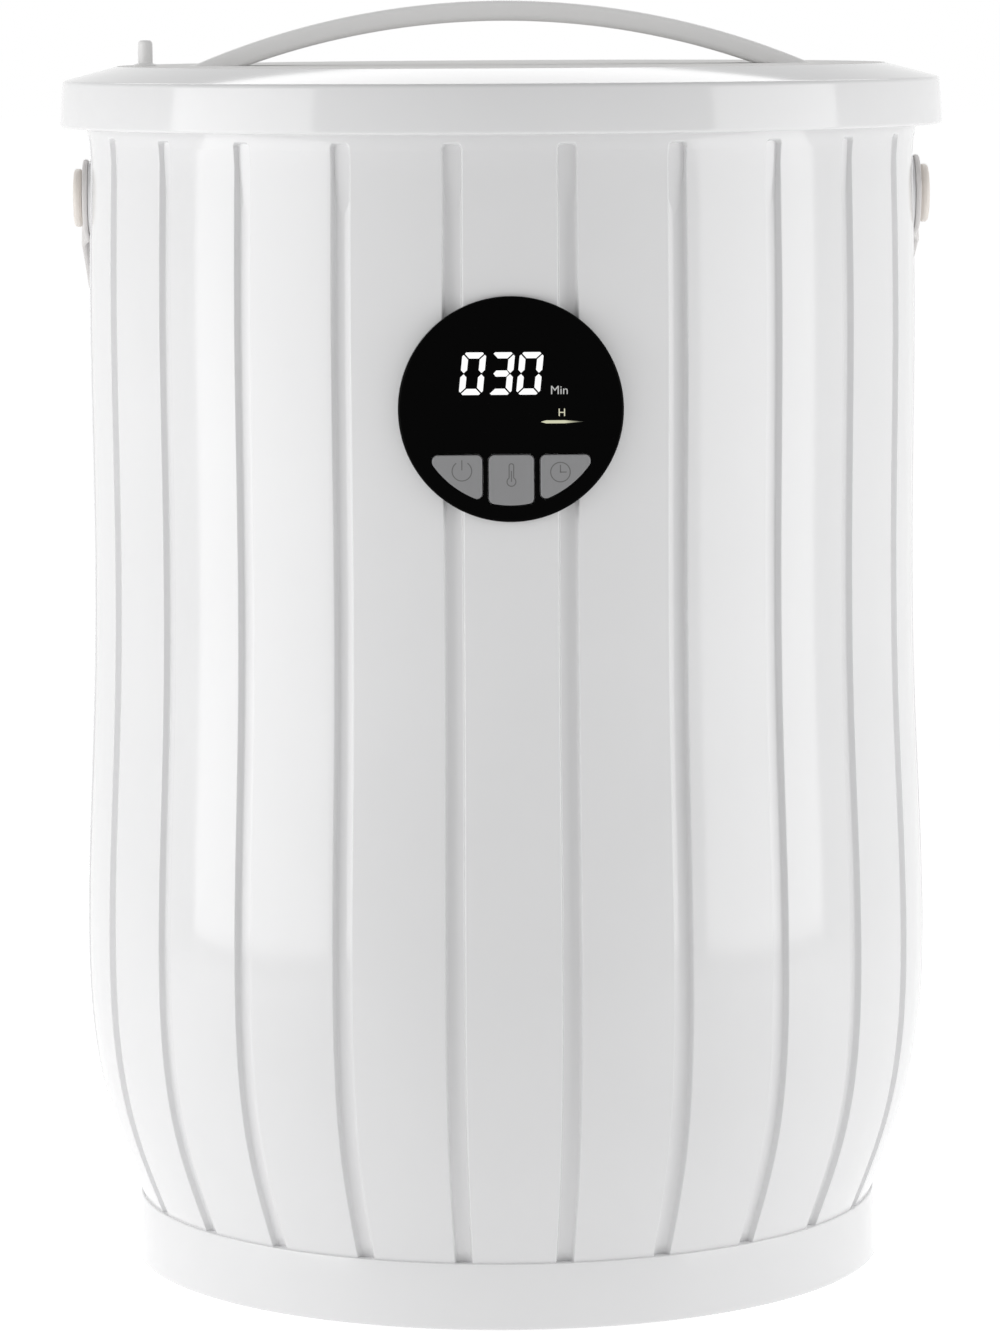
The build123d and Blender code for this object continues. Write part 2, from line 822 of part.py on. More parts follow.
def strap_outline():
    """The strap seen from the side: round at the rivet, narrowing to the bow."""
    end = strap_end_width / 2
    arm = strap_arm_width / 2
    bow = strap_bow_width / 2
    reach = strap_reach + strap_thickness + 1
    band = Polyline((0, -end), (strap_neck, -arm), (reach, -bow), (reach, bow),
                    (strap_neck, arm), (0, end), close=True)
    return Circle(end) + make_face(band)


def carry_strap():
    band = extrude(strap_band(), strap_end_width, both=True)
    outline = extrude(Plane.YZ * strap_outline(), lid_rim_radius * 2, both=True)
    strap = band & outline
    reach = strap_arm_in * 2
    strap = strap - rod_x(rivet_radius + pin_gap, -reach, reach, 0, 0)
    return Pos(0, 0, pivot_z) * Rot(-strap_hang_angle(), 0, 0) * strap


def strap_rivet(side):
    head = rod_x(rivet_head_radius, side * rivet_head_in, side * rivet_head_out, 0, pivot_z)
    outer = head.edges().group_by(Axis.X)[-1 if side > 0 else 0]
    head = fillet(outer, rivet_head_edge)
    tail = side * (washer_in - rivet_tail)
    return head + rod_x(rivet_radius, tail, side * (rivet_head_in + 1), 0, pivot_z)


def rivet_washer(side):
    washer = rod_x(washer_radius, side * washer_in, side * washer_out, 0, pivot_z)
    return washer - rod_x(rivet_radius + pin_gap, 0, side * shell_reach, 0, pivot_z)


# ---- Lid ----

def lid_block(shrink):
    """The lid's outer form, or its hollow when shrunk by the wall."""
    low = lid_rim_z - (1 if shrink else 0)
    bevel_radius = lid_rim_radius - lid_bevel_inset
    outline = [
        (0, lid_top_z - shrink),
        (lid_plateau_radius, lid_top_z - shrink),
        (bevel_radius - shrink * 0.6, lid_top_z - lid_bevel_drop - shrink),
        (lid_shoulder_radius - shrink, lid_shoulder_z - shrink * 0.8),
        (lid_rim_radius - shrink, low),
        (0, low),
    ]
    section = make_face(Polyline(outline, close=True))
    corners = section.vertices().sort_by(Axis.X)[-3:]
    corners = corners.sort_by(Axis.Y)[-2:]
    return revolve(Plane.XZ * fillet(corners, lid_corner), Axis.Z)


def recess_boxes(grow):
    """The flats in the rim that let the strap swing up past the lid."""
    flat = recess_flat - grow
    front = -recess_front - grow
    size = lid_rim_radius
    height = lid_top_z * 2
    return [Pos(side * (flat + size / 2), front + size / 2, 0) * Box(size, size, height)
            for side in (-1, 1)]


def lid_cover():
    outer = lid_block(0)
    rim_edge = outer.edges().group_by(Axis.Z)[0]
    outer = fillet(rim_edge, lid_rim_edge)
    outer = outer - recess_boxes(0)
    hollow = lid_block(lid_wall) - recess_boxes(recess_wall)
    cover = outer - hollow
    rib_top = lid_plate_bottom_z + lid_root
    rib_inner = lid_plateau_radius - lid_rib_wall
    cover = cover + ring(lid_plateau_radius, rib_inner, lid_liner_top_z, rib_top)
    for x, y in around(lid_screw_count, lid_screw_circle, 45):
        cover = cover + disc(lid_boss_radius, lid_liner_top_z, rib_top, x, y)
        hole_top = lid_liner_bottom_z + lid_screw_length + screw_gap
        cover = cover - disc(lid_screw_radius + pin_gap, lid_rim_z, hole_top, x, y)
    for x, y in handle_screw_places():
        cover = cover - disc(handle_screw_radius + screw_gap, lid_rim_z, lid_top_z + 1, x, y)
    return cover - disc(peg_radius + pin_gap, lid_plate_bottom_z - 1, lid_top_z + 1, peg_x)


def lid_liner():
    radius = lid_plateau_radius + lid_liner_lip
    piece = disc(radius, lid_liner_bottom_z, lid_liner_top_z)
    for x, y in around(lid_screw_count, lid_screw_circle, 45):
        piece = piece - disc(lid_screw_radius + screw_gap, lid_rim_z, lid_top_z, x, y)
    return piece


def lid_insulation():
    low = lid_liner_top_z + fit_gap
    high = lid_plate_bottom_z - handle_screw_head_height - fit_gap
    piece = disc(lid_plateau_radius - lid_rib_wall - lid_insulation_gap, low, high)
    for x, y in around(lid_screw_count, lid_screw_circle, 45):
        piece = piece - disc(lid_boss_radius + lid_insulation_gap, low - 1, high + 1, x, y)
    return piece


def lid_seal():
    middle = (liner_radius + liner_outer + liner_flange) / 2
    half = lid_seal_width / 2
    seal = ring(middle + half, middle - half, lid_seal_bottom_z, lid_liner_bottom_z)
    return fillet(seal.edges().group_by(Axis.Z)[0], lid_seal_height / 3)


def lid_screw(x, y):
    head_z = lid_liner_bottom_z - lid_screw_head_height
    head = disc(lid_screw_head, head_z, lid_liner_bottom_z, x, y)
    return head + disc(lid_screw_radius, head_z, lid_liner_bottom_z + lid_screw_length, x, y)


def handle_screw_places():
    return [(sx * handle_screw_x, sy * handle_screw_y) for sx in (-1, 1) for sy in (-1, 1)]


def lid_handle():
    bar = Rectangle(lid_handle_thickness, lid_handle_width)
    bar = chamfer(bar.vertices(), lid_handle_edge)
    middle_radius = handle_outer_radius - lid_handle_thickness / 2
    half_turn = math.degrees(math.asin(lid_handle_half_span / middle_radius)) + 1
    arch = revolve(Pos(middle_radius, 0) * bar, Axis.Y, revolution_arc=2 * half_turn)
    arch = Pos(0, 0, handle_centre_z) * Rot(0, -90 - half_turn, 0) * arch
    length = 2 * (lid_handle_half_span - lid_handle_toe)
    top = lid_top_z + lid_handle_rise * 2
    arch = arch & block(length, lid_handle_width * 2, lid_top_z, top)
    for x, y in handle_screw_places():
        top = lid_top_z + handle_screw_grip + screw_gap
        arch = arch - disc(handle_screw_radius + pin_gap, lid_top_z - 1, top, x, y)
    return arch


def handle_screw(x, y):
    head_z = lid_plate_bottom_z - handle_screw_head_height
    head = disc(handle_screw_head, head_z, lid_plate_bottom_z, x, y)
    return head + disc(handle_screw_radius, head_z, lid_top_z + handle_screw_grip, x, y)


def lid_peg():
    top = lid_top_z + peg_height
    peg = disc(peg_radius, lid_plate_bottom_z, top, peg_x)
    peg = fillet(peg.edges().group_by(Axis.Z)[-1], peg_tip)
    return peg + disc(peg_flange_radius, lid_top_z, lid_top_z + peg_flange_height, peg_x)


# ---- Every node ----

def build():
    cover_screws = around(cover_screw_count, cover_screw_circle, 45)
    lid_screws = around(lid_screw_count, lid_screw_circle, 45)
    left, middle, right = key_spans()
    sides = (-1, 1)
    lead_places = (-lead_spacing / 2, lead_spacing / 2)
    return {
        "outer_shell": outer_shell(),
        "base_ring": base_ring(),
        "bottom_cover": bottom_cover(),
        "bottom_screws": group(cover_screw(x, y) for x, y in cover_screws),
        "rubber_feet": group(rubber_foot(x, y) for x, y in around(foot_count, foot_circle)),
        "inner_liner": inner_liner(),
        "top_collar": top_collar(),
        "heater_band": heater_band(),
        "insulation_wrap": insulation_wrap(),
        "heater_plate": heater_plate(),
        "heater_studs": group(heater_stud(x, y) for x, y in around(stud_count, stud_circle, 90)),
        "thermostat": thermostat(),
        "thermal_fuse": thermal_fuse(),
        "temperature_sensor": temperature_sensor(),
        "power_board": power_board(),
        "board_screws": group(board_screw(x, y) for x, y in board_corners()),
        "terminal_block": terminal_block(),
        "board_connector": board_connector(),
        "transformer": transformer(),
        "relay": relay(),
        "capacitor": capacitor(),
        "heater_leads": group(heater_lead(x) for x in lead_places),
        "supply_leads": group(supply_lead(x) for x in lead_places),
        "panel_ribbon": panel_ribbon(),
        "cord_gland": cord_gland(),
        "panel_housing": panel_housing(),
        "panel_lens": panel_lens(),
        "control_board": control_board(),
        "control_screws": group(control_screw(x, z) for x, z in control_screw_places()),
        "display_module": display_module(),
        "tact_switches": group(tact_switch(span) for span in key_spans()),
        "power_button": key_cap(left),
        "power_plunger": key_plunger(left),
        "temperature_button": key_cap(middle),
        "temperature_plunger": key_plunger(middle),
        "timer_button": key_cap(right),
        "timer_plunger": key_plunger(right),
        "carry_strap": carry_strap(),
        "strap_rivets": group(strap_rivet(side) for side in sides),
        "rivet_washers": group(rivet_washer(side) for side in sides),
        "lid_cover": lid_cover(),
        "lid_liner": lid_liner(),
        "lid_insulation": lid_insulation(),
        "lid_seal": lid_seal(),
        "lid_screws": group(lid_screw(x, y) for x, y in lid_screws),
        "lid_handle": lid_handle(),
        "lid_handle_screws": group(handle_screw(x, y) for x, y in handle_screw_places()),
        "lid_peg": lid_peg(),
    }


os.makedirs("parts", exist_ok=True)
for name, shape in build().items():
    export_step(shape, f"parts/{name}.step")
print("strap hangs at", round(strap_hang_angle(), 2), "degrees below level")
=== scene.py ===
import json
import math

import bpy
import numpy as np
from mathutils import Matrix, Vector

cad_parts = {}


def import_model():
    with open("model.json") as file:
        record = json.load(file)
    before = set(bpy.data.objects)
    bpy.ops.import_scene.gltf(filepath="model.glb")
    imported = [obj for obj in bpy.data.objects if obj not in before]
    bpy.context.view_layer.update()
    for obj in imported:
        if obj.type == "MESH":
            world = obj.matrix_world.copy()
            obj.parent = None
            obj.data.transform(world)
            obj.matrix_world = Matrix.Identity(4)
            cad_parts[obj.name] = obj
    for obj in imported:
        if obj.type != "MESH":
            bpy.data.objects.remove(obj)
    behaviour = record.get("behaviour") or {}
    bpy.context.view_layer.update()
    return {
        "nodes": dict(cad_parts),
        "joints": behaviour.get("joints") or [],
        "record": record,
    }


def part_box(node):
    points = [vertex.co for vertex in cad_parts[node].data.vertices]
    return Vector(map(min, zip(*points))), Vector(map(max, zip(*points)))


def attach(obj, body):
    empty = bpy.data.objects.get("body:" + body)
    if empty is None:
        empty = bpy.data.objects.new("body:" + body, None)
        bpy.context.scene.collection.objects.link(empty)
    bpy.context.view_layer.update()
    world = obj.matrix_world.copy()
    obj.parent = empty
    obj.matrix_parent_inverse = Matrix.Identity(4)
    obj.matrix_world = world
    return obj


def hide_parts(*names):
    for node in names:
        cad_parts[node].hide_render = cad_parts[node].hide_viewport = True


# A towel warmer bucket. Sizes are in millimetres unless a name says otherwise.

MM = 0.001
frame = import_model()
slot_of = {part["node"]: part["material_slot"] for part in frame["record"]["subparts"]}


def low(node):
    """A CAD node's lowest corner, in millimetres."""
    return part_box(node)[0] / MM


def high(node):
    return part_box(node)[1] / MM


# ---- Sizes ----

RING_TOP_Z = 23.6
RING_BOTTOM_Z = low("base_ring").z
SHELL_TOP_Z = high("outer_shell").z
SHELL_WALL = 3.2
WAIST_RADIUS = 144.9
GROOVE_COUNT = 24
GROOVE_HALF = 3.35
GROOVE_DEPTH = 2.8
GROOVE_TOP_Z = SHELL_TOP_Z - 0.6
GROOVE_CORNER = 1.8
SHELL_FLARE = 1.0           # above the neck, out to the top edge
LIP_HEIGHT = 3.2            # of the shell's lip, which the lid's rim covers

LID_TOP_Z = low("lid_handle").z
LID_RIM_Z = low("lid_cover").z
LID_RIM_RADIUS = high("lid_cover").y
LID_PLATEAU_RADIUS = LID_RIM_RADIUS - 20.1
RECESS_FLAT = 146.6
RECESS_FRONT = 11.0
RECESS_WALL = 1.9

HANDLE_HALF_SPAN = 108.0
HANDLE_RISE = high("lid_handle").z - LID_TOP_Z
HANDLE_THICKNESS = 7.0
HANDLE_WIDTH = high("lid_handle").y * 2
PEG_X = (low("lid_peg").x + high("lid_peg").x) / 2

PIVOT_Z = next(j for j in frame["joints"] if j["name"] == "strap_swing")["pos_m"][2] / MM
PANEL_FRONT_Y = low("panel_lens").y
PANEL_Z = (low("panel_lens").z + high("panel_lens").z) / 2
KEY_FRONT_Y = low("power_button").y


# ---- Materials ----

def material(name, color, roughness, coat=0.0, metallic=0.0, specular=0.5):
    made = bpy.data.materials.new(name)
    made.use_nodes = True
    shader = made.node_tree.nodes["Principled BSDF"]
    shader.inputs["Base Color"].default_value = (*color, 1.0)
    shader.inputs["Roughness"].default_value = roughness
    shader.inputs["Metallic"].default_value = metallic
    shader.inputs["Coat Weight"].default_value = coat
    shader.inputs["Coat Roughness"].default_value = 0.03
    shader.inputs["Specular IOR Level"].default_value = specular
    return made


def link(made, source, output, target, socket):
    made.node_tree.links.new(source.outputs[output], target.inputs[socket])


def noise(made, scale, detail=3.0, stretch=(1, 1, 1)):
    """Noise fixed to the piece, its scale in lumps per metre."""
    nodes = made.node_tree.nodes
    place = nodes.new("ShaderNodeTexCoord")
    turn = nodes.new("ShaderNodeMapping")
    turn.inputs["Scale"].default_value = stretch
    grain = nodes.new("ShaderNodeTexNoise")
    grain.inputs["Scale"].default_value = scale
    grain.inputs["Detail"].default_value = detail
    link(made, place, "Object", turn, "Vector")
    link(made, turn, "Vector", grain, "Vector")
    return grain


def vary_roughness(made, grain, least, most):
    spread = made.node_tree.nodes.new("ShaderNodeMapRange")
    spread.inputs["From Min"].default_value = 0.3
    spread.inputs["From Max"].default_value = 0.7
    spread.inputs["To Min"].default_value = least
    spread.inputs["To Max"].default_value = most
    link(made, grain, "Fac", spread, "Value")
    link(made, spread, "Result", made.node_tree.nodes["Principled BSDF"], "Roughness")


def vary_color(made, grain, first, second):
    ramp = made.node_tree.nodes.new("ShaderNodeValToRGB")
    start, end = ramp.color_ramp.elements
    start.position, start.color = 0.35, (*first, 1.0)
    end.position, end.color = 0.65, (*second, 1.0)
    link(made, grain, "Fac", ramp, "Fac")
    link(made, ramp, "Color", made.node_tree.nodes["Principled BSDF"], "Base Color")


def raise_grain(made, grain, height):
    """Bump of that height in metres."""
    raised = made.node_tree.nodes.new("ShaderNodeBump")
    raised.inputs["Distance"].default_value = height
    link(made, grain, "Fac", raised, "Height")
    link(made, raised, "Normal", made.node_tree.nodes["Principled BSDF"], "Normal")


def moulded(name, color, roughness, grain_scale, grain_height, coat=0.0, specular=0.5):
    """Moulded plastic: a slight drift of colour and gloss, and a fine grain."""
    made = material(name, color, roughness, coat, specular=specular)
    cloud = noise(made, 18.0)
    vary_color(made, cloud, [c * 0.985 for c in color], color)
    vary_roughness(made, cloud, roughness * 0.94, roughness * 1.06)
    raise_grain(made, noise(made, grain_scale, 2.0), grain_height)
    return made


def metal(name, color, roughness, stretch):
    """Brushed metal, the lines drawn out along the axis whose stretch is small."""
    made = material(name, color, roughness, metallic=1.0)
    lines = noise(made, 900.0, 2.0, stretch)
    vary_roughness(made, lines, roughness * 0.8, roughness * 1.25)
    raise_grain(made, lines, 0.00001)
    return made


def felt(name, color):
    made = material(name, color, 0.95)
    fibres = noise(made, 1400.0, 4.0)
    vary_color(made, fibres, [c * 0.85 for c in color], color)
    raise_grain(made, fibres, 0.0004)
    return made


def glow(name, color, strength):
    """A lit segment."""
    made = material(name, (0.0, 0.0, 0.0), 0.5)
    shader = made.node_tree.nodes["Principled BSDF"]
    shader.inputs["Emission Color"].default_value = (*color, 1.0)
    shader.inputs["Emission Strength"].default_value = strength
    return made


FINISH = {
    "white_gloss": moulded("glossy_white", (0.82, 0.82, 0.825), 0.1, 40.0, 0.00002),
    "white_satin": moulded("satin_white", (0.86, 0.855, 0.845), 0.42, 2600.0, 0.00002),
    "strap_white": moulded("warm_white", (0.70, 0.68, 0.67), 0.45, 2200.0, 0.00003),
    "rivet_cream": moulded("cream", (0.80, 0.75, 0.70), 0.38, 2200.0, 0.00002),
    "black_gloss": moulded("polished_black", (0.001, 0.001, 0.001), 0.06, 40.0, 0.000002,
                           specular=0.02),
    "black_plastic": moulded("satin_black", (0.01, 0.01, 0.01), 0.25, 2500.0, 0.00001,
                             specular=0.1),
    "key_grey": moulded("satin_grey", (0.27, 0.27, 0.275), 0.36, 3000.0, 0.00001),
    "seal_grey": moulded("soft_silicone", (0.62, 0.62, 0.62), 0.6, 1500.0, 0.00002),
    "rubber_dark": moulded("dark_rubber", (0.03, 0.03, 0.03), 0.7, 1500.0, 0.00004),
    "silicone": moulded("heater_mat", (0.45, 0.10, 0.05), 0.55, 1200.0, 0.00005),
    "part_black": moulded("black_part", (0.02, 0.02, 0.022), 0.4, 2000.0, 0.00002),
    "part_blue": moulded("blue_part", (0.04, 0.10, 0.35), 0.3, 2000.0, 0.00001),
    "board_green": moulded("green_board", (0.02, 0.15, 0.06), 0.35, 900.0, 0.00002),
    "wire": moulded("wire_cover", (0.62, 0.62, 0.58), 0.45, 1500.0, 0.00001),
    "liner_metal": metal("satin_aluminium", (0.72, 0.73, 0.74), 0.32, (1, 1, 0.03)),
    "heater_metal": metal("brushed_aluminium", (0.60, 0.61, 0.63), 0.35, (0.05, 1, 1)),
    "steel": metal("plated_steel", (0.55, 0.55, 0.57), 0.3, (1, 1, 1)),
    "foam": felt("white_felt", (0.74, 0.72, 0.66)),
}
LID_TOP_FINISH = moulded("fine_grained_white", (0.80, 0.795, 0.785), 0.55, 1800.0, 0.00006)
# The base band: the shell's glossy white made lighter. This is painted light standing in for the
# brighter light on the ring; the ring is the same plastic as the shell.
BASE_PAINTED_LIGHT_FINISH = moulded("glossy_white_painted_light", (0.87, 0.87, 0.875), 0.12, 40.0, 0.00002)
# The arch and the pin: a paler satin white. It is partly their own plastic and partly painted light
# that stands in for the light from above, which the arch's front misses.
HANDLE_PALE_AND_PAINTED_LIGHT_FINISH = moulded("pale_satin_white_painted_light", (0.96, 0.955, 0.95), 0.42, 2600.0, 0.00002)
MARK_FINISH = moulded("printed_grey", (0.13, 0.13, 0.13), 0.5, 3000.0, 0.000005)
DIGIT_FINISH = glow("lit_white", (1.0, 1.0, 1.0), 1.0)
UNIT_FINISH = glow("dim_white", (0.45, 0.45, 0.44), 1.0)
LEVEL_FINISH = glow("pale_yellow", (0.62, 0.60, 0.44), 1.0)


def dress_cad_nodes():
    """Each CAD node that stays gets its slot's finish."""
    for name, obj in frame["nodes"].items():
        for i in range(len(obj.data.materials)):
            obj.data.materials[i] = FINISH[slot_of[name]]


# ---- Mesh helpers ----

def piece(name, points, faces, finish, body, nodes=(), sharp=35):
    """A mesh in millimetres becomes a piece that rides on a body."""
    mesh = bpy.data.meshes.new(name)
    mesh.from_pydata([tuple(c * MM for c in p) for p in points], [], faces)
    mesh.update()
    mesh.materials.append(finish)
    mesh.polygons.foreach_set("use_smooth", [True] * len(mesh.polygons))
    mesh.set_sharp_from_angle(angle=math.radians(sharp))
    obj = bpy.data.objects.new(name, mesh)
    bpy.context.scene.collection.objects.link(obj)
    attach(obj, body)
    if nodes:
        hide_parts(*nodes)
    return obj


def outward(points, faces):
    """The faces of a closed mesh, turned so that they look out."""
    co = np.array(points, float)
    volume = 0.0
    for face in faces:
        for i in range(1, len(face) - 1):
            volume += float(np.dot(co[face[0]], np.cross(co[face[i]], co[face[i + 1]])))
    return faces if volume > 0 else [tuple(reversed(face)) for face in faces]


def rounded(corners, steps=6):
    """A line through (x, y, radius) corners, with an arc at each one that has a radius."""
    line = []
    for i, (x, y, radius) in enumerate(corners):
        if radius <= 0:
            line.append((x, y))
            continue
        here = Vector((x, y))
        back = (Vector(corners[i - 1][:2]) - here).normalized()
        ahead = (Vector(corners[(i + 1) % len(corners)][:2]) - here).normalized()
        half = back.angle(ahead) / 2
        run = radius / math.tan(half)
        middle = here + (back + ahead).normalized() * radius / math.sin(half)
        first = here + back * run - middle
        last = here + ahead * run - middle
        start = math.atan2(first.y, first.x)
        turn = (math.atan2(last.y, last.x) - start + math.pi) % (2 * math.pi) - math.pi
        for k in range(steps + 1):
            angle = start + turn * k / steps
            line.append((middle.x + radius * math.cos(angle), middle.y + radius * math.sin(angle)))
    return line


def grid_faces(rows, around):
    """Faces between rows of vertices that each go once round. The rows close up if around."""
    faces = []
    for i in range(len(rows) if around else len(rows) - 1):
        here, above = rows[i], rows[(i + 1) % len(rows)]
        for k in range(len(here)):
            n = (k + 1) % len(here)
            face = tuple(dict.fromkeys((here[k], here[n], above[n], above[k])))
            if len(face) > 2:
                faces.append(face)
    return faces


def lathe(outline, angles, shape=None):
    """Points and faces of a line of (radius, z) turned round Z. A line that starts and ends on
    the axis makes a solid there. shape(x, y, z, place on the line) may move a point."""
    points, rows = [], []
    for i, (radius, z) in enumerate(outline):
        if radius < 1e-6:
            rows.append([len(points)] * len(angles))
            points.append((0.0, 0.0, z))
            continue
        rows.append(list(range(len(points), len(points) + len(angles))))
        for angle in angles:
            point = (radius * math.cos(angle), radius * math.sin(angle), z)
            points.append(shape(*point, i) if shape else point)
    on_axis = outline[0][0] < 1e-6
    return points, outward(points, grid_faces(rows, not on_axis))


def full_turn(count):
    return [2 * math.pi * k / count for k in range(count)]


def lathe_piece(name, corners, finish, body, nodes=(), columns=128, places=None, sharp=35):
    """Rounded corners turned round Z, once or at each place given as a matrix."""
    shape_points, shape_faces = lathe(rounded(corners), full_turn(columns))
    points, faces = [], []
    for place in places or [Matrix()]:
        faces += [tuple(i + len(points) for i in face) for face in shape_faces]
        points += [tuple(place @ Vector(p)) for p in shape_points]
    return piece(name, points, faces, finish, body, nodes, sharp)


def sweep(rings):
    """Points and faces of a solid through rings of points, with flat ends."""
    points = [tuple(p) for ring in rings for p in ring]
    size = len(rings[0])
    rows = [list(range(i * size, (i + 1) * size)) for i in range(len(rings))]
    faces = grid_faces(rows, False)
    faces += [tuple(reversed(rows[0])), tuple(rows[-1])]
    return points, outward(points, faces)


def rounded_bar(width, height, radius, steps=5):
    """A rounded rectangle about the origin."""
    w, h = width / 2, height / 2
    radius = min(radius, w * 0.98, h * 0.98)
    return rounded([(w, -h, radius), (w, h, radius), (-w, h, radius), (-w, -h, radius)], steps)


# ---- Outer shell ----

def shell_places():
    """Radius and height where the shell's outline turns, from the foot to the neck."""
    steps = [
        (-14.2, RING_TOP_Z),
        (-2.9, RING_TOP_Z + 31.0),
        (4.1, RING_TOP_Z + 92.7),
        (1.0, RING_TOP_Z + 178.3),
        (0.0, SHELL_TOP_Z - 132.0),
        (0.4, SHELL_TOP_Z - 59.0),
        (-0.6, SHELL_TOP_Z - 8.0),
    ]
    return [(WAIST_RADIUS + step, z) for step, z in steps]


def smooth_line(places):
    """A function of z that runs smoothly through the places."""
    z = np.array([p[1] for p in places])
    r = np.array([p[0] for p in places])
    gap = np.diff(z)
    rate = np.diff(r) / gap
    count = len(z)
    left = np.eye(count)
    right = np.zeros(count)
    for i in range(1, count - 1):
        left[i, i - 1:i + 2] = gap[i - 1], 2 * (gap[i - 1] + gap[i]), gap[i]
        right[i] = 6 * (rate[i] - rate[i - 1])
    bend = np.linalg.solve(left, right)

    def radius(height):
        i = int(np.clip(np.searchsorted(z, height) - 1, 0, count - 2))
        up, down = height - z[i], z[i + 1] - height
        curve = (bend[i] * down ** 3 + bend[i + 1] * up ** 3) / (6 * gap[i])
        start = (r[i] / gap[i] - bend[i] * gap[i] / 6) * down
        end = (r[i + 1] / gap[i] - bend[i + 1] * gap[i] / 6) * up
        return curve + start + end
    return radius


shell_side = smooth_line(shell_places())


def shell_radius(z):
    """The shell's outer radius, with the flare above its neck."""
    neck_radius, neck_z = shell_places()[-1]
    if z <= neck_z:
        return shell_side(z)
    return neck_radius + SHELL_FLARE * ((z - neck_z) / (SHELL_TOP_Z - neck_z)) ** 2


def groove_profile():
    """A groove's depth against the distance in from its edge: a small round at the edge, a steep
    wall and a hollow floor."""
    corners = [
        (-0.5, 0, 0),
        (0, 0, 0.35),
        (0.5, GROOVE_DEPTH * 0.85, 0.9),
        (GROOVE_HALF, GROOVE_DEPTH, 0),
    ]
    return rounded(corners, 5)


def groove_cut(across, z, profile):
    """The groove's depth at a distance across from its middle. Its top end is a rounded square."""
    side = abs(across) - (GROOVE_HALF - GROOVE_CORNER)
    top = z - (GROOVE_TOP_Z - GROOVE_CORNER)
    outside = math.hypot(max(side, 0), max(top, 0)) + min(max(side, top), 0) - GROOVE_CORNER
    return float(np.interp(-outside, [p[0] for p in profile], [p[1] for p in profile]))


def shell_columns(profile):
    """Angles round the shell, close together over each groove, with the distance from it."""
    half = [GROOVE_HALF - inward for inward, depth in profile[:-1]]
    groove = [-a for a in half] + [0.0] + half[::-1]
    pitch = 2 * math.pi / GROOVE_COUNT
    stave = pitch * WAIST_RADIUS - 2 * half[0]
    stave_steps = 8
    between = [half[0] + stave * k / stave_steps for k in range(1, stave_steps)]
    first = -math.pi / 2 + pitch / 2
    return [(first + pitch * g + across / WAIST_RADIUS, across)
            for g in range(GROOVE_COUNT) for across in groove + between]


def outer_shell():
    profile = groove_profile()
    columns = shell_columns(profile)
    fine_z = GROOVE_TOP_Z - GROOVE_CORNER - 1
    lip_z = SHELL_TOP_Z + LIP_HEIGHT
    edge = 0.6
    heights = list(np.linspace(RING_TOP_Z, fine_z, 76))
    heights += list(np.arange(fine_z + 0.25, SHELL_TOP_Z, 0.25))
    heights += list(np.linspace(SHELL_TOP_Z + 0.4, lip_z - edge, 6))
    points, rows = [], []

    def row(z, offset, grooved=False):
        rows.append(list(range(len(points), len(points) + len(columns))))
        for angle, across in columns:
            cut = groove_cut(across, z, profile) if grooved else 0
            radius = shell_radius(z) + offset - cut
            points.append((radius * math.cos(angle), radius * math.sin(angle), z))

    for z in heights:
        row(z, 0, True)
    for k in range(5):
        turn = math.pi / 2 * k / 4
        row(lip_z - edge + edge * math.sin(turn), -edge + edge * math.cos(turn))
    for z in reversed(np.linspace(RING_TOP_Z, lip_z, 12)):
        row(z, -SHELL_WALL)
    faces = outward(points, grid_faces(rows, True))
    piece("ribbed_shell", points, faces, FINISH["white_gloss"], "bucket",
          ["outer_shell"], 60)


# ---- Base ----

def base_ring():
    """The ring under the shell, with its spigot inside the shell and its flange underneath."""
    foot_radius = shell_places()[0][0]
    top_radius = foot_radius + 0.9
    inner = top_radius - 3.0
    spigot = foot_radius - SHELL_WALL - 0.15
    spigot_top = RING_TOP_Z + 8.0
    flange = inner - 12.15
    corners = [
        (top_radius + 1.7, RING_BOTTOM_Z, 1.2),
        (top_radius, RING_TOP_Z, 0.5),
        (spigot, RING_TOP_Z, 0),
        (spigot, spigot_top, 0.8),
        (spigot - 3.0, spigot_top, 0.8),
        (spigot - 3.0, RING_TOP_Z - 3.0, 0),
        (inner, RING_TOP_Z - 3.0, 0),
        (inner, 8.0, 0),
        (flange, 8.0, 0.5),
        (flange, 5.5, 0.5),
        (inner, 5.5, 0),
        (inner, RING_BOTTOM_Z, 0.8),
    ]
    # Painted light: the band gets a lighter copy of the shell's white.
    lathe_piece("base_band", corners, BASE_PAINTED_LIGHT_FINISH, "bucket",
                ["base_ring"], 220)


def rubber_feet():
    """Four soft pads with a shallow ring pressed into each."""
    radius, height, circle = 9.0, 3.0, 109.2
    corners = [
        (0, height, 0),
        (radius, height, 0.2),
        (radius, 0, 0.9),
        (radius - 2.6, 0, 0.3),
        (radius - 3.0, 0.7, 0.3),
        (radius - 4.4, 0.7, 0.3),
        (radius - 4.8, 0, 0.3),
        (0, 0, 0),
    ]
    places = [Matrix.Rotation(turn, 4, "Z") @ Matrix.Translation((circle, 0, 0))
              for turn in full_turn(4)]
    lathe_piece("soft_feet", corners, FINISH["rubber_dark"], "bucket",
                ["rubber_feet"], 40, places)


# ---- Towel chamber ----

